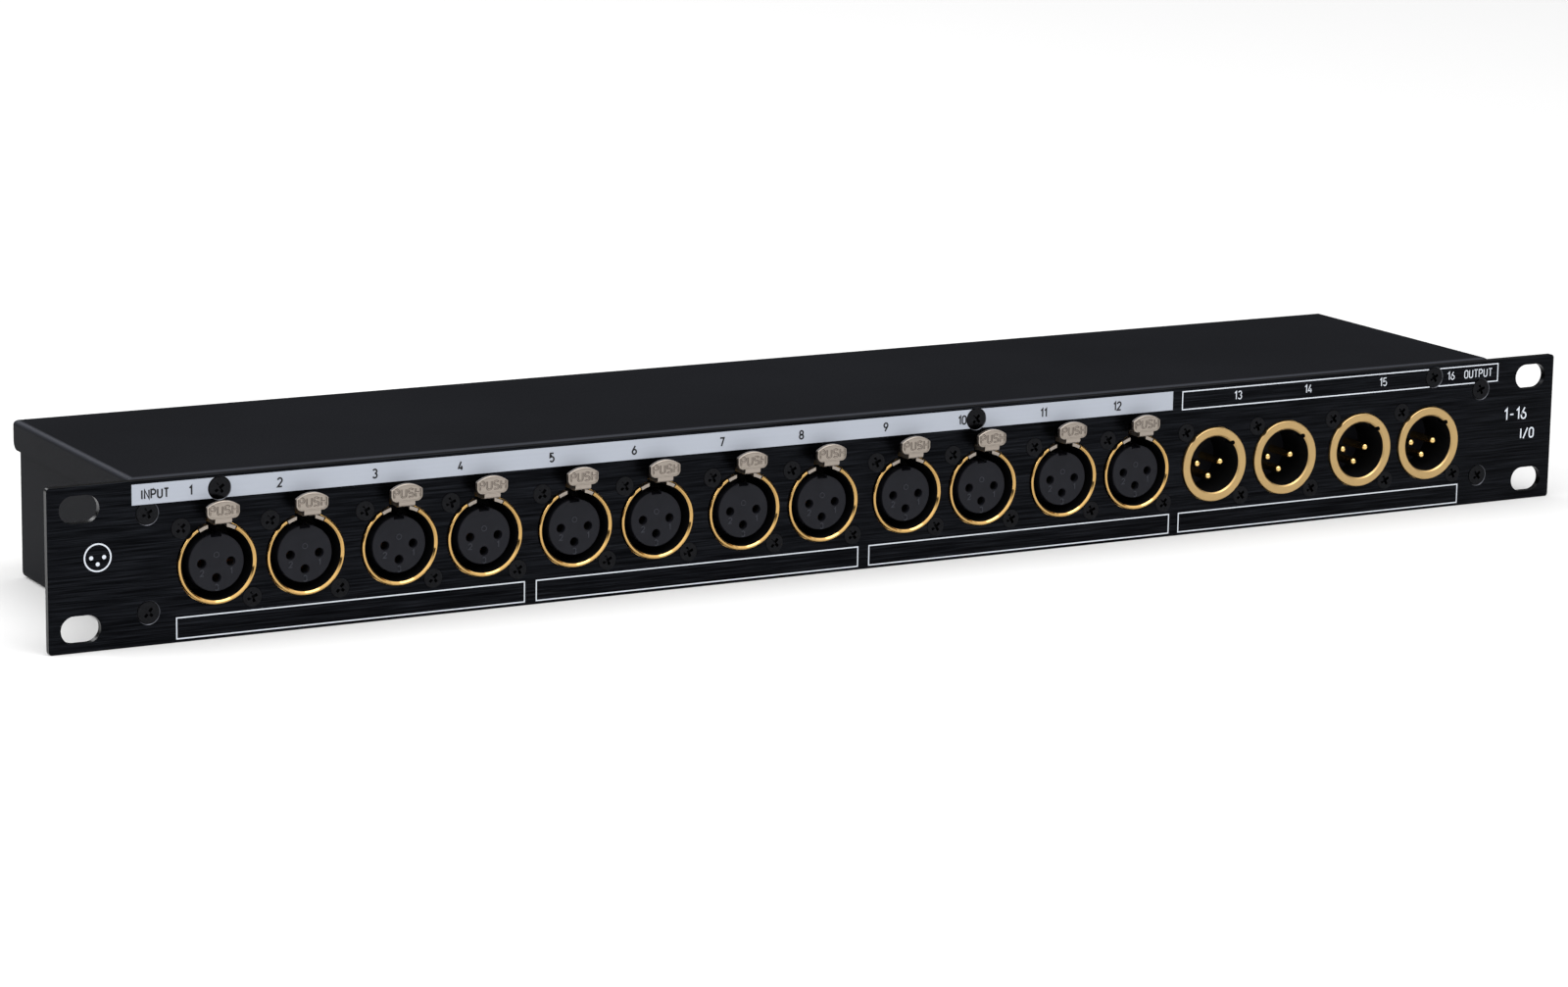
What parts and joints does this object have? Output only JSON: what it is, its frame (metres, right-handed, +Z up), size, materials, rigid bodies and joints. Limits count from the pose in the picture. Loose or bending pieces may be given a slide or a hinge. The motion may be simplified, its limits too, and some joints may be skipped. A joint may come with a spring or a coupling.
{
  "type": "audio patch bay",
  "caption": "Rack-mount audio patch bay: a shallow black case with a row of gold-rimmed three-pin sockets and plugs in front, wired straight to the rear.",
  "frame": {"origin": "centre of the four rack slots, on the panel's front face", "axes": "+X to the right seen from the front, +Y from the front to the rear, +Z up"},
  "size_m": [0.4826, 0.0998, 0.0444],
  "materials": {
    "anodised_panel": "brushed and anodised black",
    "powder_coat": "satin black powder coat",
    "post_alloy": "sawn and drilled",
    "black_screw": "black oxide",
    "polished_gold": "polished plating",
    "satin_gold": "satin plating",
    "nickel": "satin nickel plating",
    "black_insert": "fine moulded",
    "contact_gold": "polished plating",
    "spring_steel": "drawn",
    "lead_green": "smooth",
    "lead_red": "smooth",
    "lead_white": "smooth"
  },
  "bodies": {
    "chassis": {"front_panel": "anodised_panel", "chassis_tray": "powder_coat", "rear_wall": "powder_coat", "top_cover": "powder_coat", "corner_posts": "post_alloy", "panel_screws": "black_screw", "cover_screws": "black_screw", "front_socket_shell_01": "polished_gold", "front_socket_shell_02": "polished_gold", "front_socket_shell_03": "polished_gold", "front_socket_shell_04": "polished_gold", "front_socket_shell_05": "polished_gold", "front_socket_shell_06": "polished_gold", "front_socket_shell_07": "polished_gold", "front_socket_shell_08": "polished_gold", "front_socket_shell_09": "polished_gold", "front_socket_shell_10": "polished_gold", "front_socket_shell_11": "polished_gold", "front_socket_shell_12": "polished_gold", "rear_socket_shell_13": "polished_gold", "rear_socket_shell_14": "polished_gold", "rear_socket_shell_15": "polished_gold", "rear_socket_shell_16": "polished_gold", "front_plug_shell_13": "satin_gold", "front_plug_shell_14": "satin_gold", "front_plug_shell_15": "satin_gold", "front_plug_shell_16": "satin_gold", "rear_plug_shells": "satin_gold", "front_socket_inserts": "black_insert", "rear_socket_inserts": "black_insert", "front_plug_inserts": "black_insert", "rear_plug_inserts": "black_insert", "front_socket_contacts": "contact_gold", "rear_socket_contacts": "contact_gold", "front_plug_pins": "contact_gold", "rear_plug_pins": "contact_gold", "front_connector_screws": "black_screw", "rear_connector_screws": "black_screw", "latch_pins": "spring_steel", "latch_springs": "spring_steel", "latch_guides": "nickel", "leads_screen": "lead_green", "leads_hot": "lead_red", "leads_cold": "lead_white"},
    "front_latch_lever_01": {"front_latch_01": "nickel"},
    "front_latch_lever_02": {"front_latch_02": "nickel"},
    "front_latch_lever_03": {"front_latch_03": "nickel"},
    "front_latch_lever_04": {"front_latch_04": "nickel"},
    "front_latch_lever_05": {"front_latch_05": "nickel"},
    "front_latch_lever_06": {"front_latch_06": "nickel"},
    "front_latch_lever_07": {"front_latch_07": "nickel"},
    "front_latch_lever_08": {"front_latch_08": "nickel"},
    "front_latch_lever_09": {"front_latch_09": "nickel"},
    "front_latch_lever_10": {"front_latch_10": "nickel"},
    "front_latch_lever_11": {"front_latch_11": "nickel"},
    "front_latch_lever_12": {"front_latch_12": "nickel"},
    "rear_latch_lever_13": {"rear_latch_13": "nickel"},
    "rear_latch_lever_14": {"rear_latch_14": "nickel"},
    "rear_latch_lever_15": {"rear_latch_15": "nickel"},
    "rear_latch_lever_16": {"rear_latch_16": "nickel"}
  },
  "joints": [
    {"name": "front_latch_press_01", "type": "hinge", "parent": "chassis", "child": "front_latch_lever_01", "pos_m": [-0.19485, 0.0125, 0.0099], "axis": [-1, 0, 0], "range_deg": [0, 8], "stiffness_Nm_per_rad": 0.05, "springref_deg": -8.59},
    {"name": "front_latch_press_02", "type": "hinge", "parent": "chassis", "child": "front_latch_lever_02", "pos_m": [-0.16985, 0.0125, 0.0099], "axis": [-1, 0, 0], "range_deg": [0, 8], "stiffness_Nm_per_rad": 0.05, "springref_deg": -8.59},
    {"name": "front_latch_press_03", "type": "hinge", "parent": "chassis", "child": "front_latch_lever_03", "pos_m": [-0.14275, 0.0125, 0.0099], "axis": [-1, 0, 0], "range_deg": [0, 8], "stiffness_Nm_per_rad": 0.05, "springref_deg": -8.59},
    {"name": "front_latch_press_04", "type": "hinge", "parent": "chassis", "child": "front_latch_lever_04", "pos_m": [-0.11775, 0.0125, 0.0099], "axis": [-1, 0, 0], "range_deg": [0, 8], "stiffness_Nm_per_rad": 0.05, "springref_deg": -8.59},
    {"name": "front_latch_press_05", "type": "hinge", "parent": "chassis", "child": "front_latch_lever_05", "pos_m": [-0.09065, 0.0125, 0.0099], "axis": [-1, 0, 0], "range_deg": [0, 8], "stiffness_Nm_per_rad": 0.05, "springref_deg": -8.59},
    {"name": "front_latch_press_06", "type": "hinge", "parent": "chassis", "child": "front_latch_lever_06", "pos_m": [-0.06565, 0.0125, 0.0099], "axis": [-1, 0, 0], "range_deg": [0, 8], "stiffness_Nm_per_rad": 0.05, "springref_deg": -8.59},
    {"name": "front_latch_press_07", "type": "hinge", "parent": "chassis", "child": "front_latch_lever_07", "pos_m": [-0.03855, 0.0125, 0.0099], "axis": [-1, 0, 0], "range_deg": [0, 8], "stiffness_Nm_per_rad": 0.05, "springref_deg": -8.59},
    {"name": "front_latch_press_08", "type": "hinge", "parent": "chassis", "child": "front_latch_lever_08", "pos_m": [-0.01355, 0.0125, 0.0099], "axis": [-1, 0, 0], "range_deg": [0, 8], "stiffness_Nm_per_rad": 0.05, "springref_deg": -8.59},
    {"name": "front_latch_press_09", "type": "hinge", "parent": "chassis", "child": "front_latch_lever_09", "pos_m": [0.01355, 0.0125, 0.0099], "axis": [-1, 0, 0], "range_deg": [0, 8], "stiffness_Nm_per_rad": 0.05, "springref_deg": -8.59},
    {"name": "front_latch_press_10", "type": "hinge", "parent": "chassis", "child": "front_latch_lever_10", "pos_m": [0.03855, 0.0125, 0.0099], "axis": [-1, 0, 0], "range_deg": [0, 8], "stiffness_Nm_per_rad": 0.05, "springref_deg": -8.59},
    {"name": "front_latch_press_11", "type": "hinge", "parent": "chassis", "child": "front_latch_lever_11", "pos_m": [0.06565, 0.0125, 0.0099], "axis": [-1, 0, 0], "range_deg": [0, 8], "stiffness_Nm_per_rad": 0.05, "springref_deg": -8.59},
    {"name": "front_latch_press_12", "type": "hinge", "parent": "chassis", "child": "front_latch_lever_12", "pos_m": [0.09065, 0.0125, 0.0099], "axis": [-1, 0, 0], "range_deg": [0, 8], "stiffness_Nm_per_rad": 0.05, "springref_deg": -8.59},
    {"name": "rear_latch_press_13", "type": "hinge", "parent": "chassis", "child": "rear_latch_lever_13", "pos_m": [0.11775, 0.0769, 0.0099], "axis": [1, 0, 0], "range_deg": [0, 8], "stiffness_Nm_per_rad": 0.05, "springref_deg": -8.59},
    {"name": "rear_latch_press_14", "type": "hinge", "parent": "chassis", "child": "rear_latch_lever_14", "pos_m": [0.14275, 0.0769, 0.0099], "axis": [1, 0, 0], "range_deg": [0, 8], "stiffness_Nm_per_rad": 0.05, "springref_deg": -8.59},
    {"name": "rear_latch_press_15", "type": "hinge", "parent": "chassis", "child": "rear_latch_lever_15", "pos_m": [0.16985, 0.0769, 0.0099], "axis": [1, 0, 0], "range_deg": [0, 8], "stiffness_Nm_per_rad": 0.05, "springref_deg": -8.59},
    {"name": "rear_latch_press_16", "type": "hinge", "parent": "chassis", "child": "rear_latch_lever_16", "pos_m": [0.19485, 0.0769, 0.0099], "axis": [1, 0, 0], "range_deg": [0, 8], "stiffness_Nm_per_rad": 0.05, "springref_deg": -8.59}
  ]
}
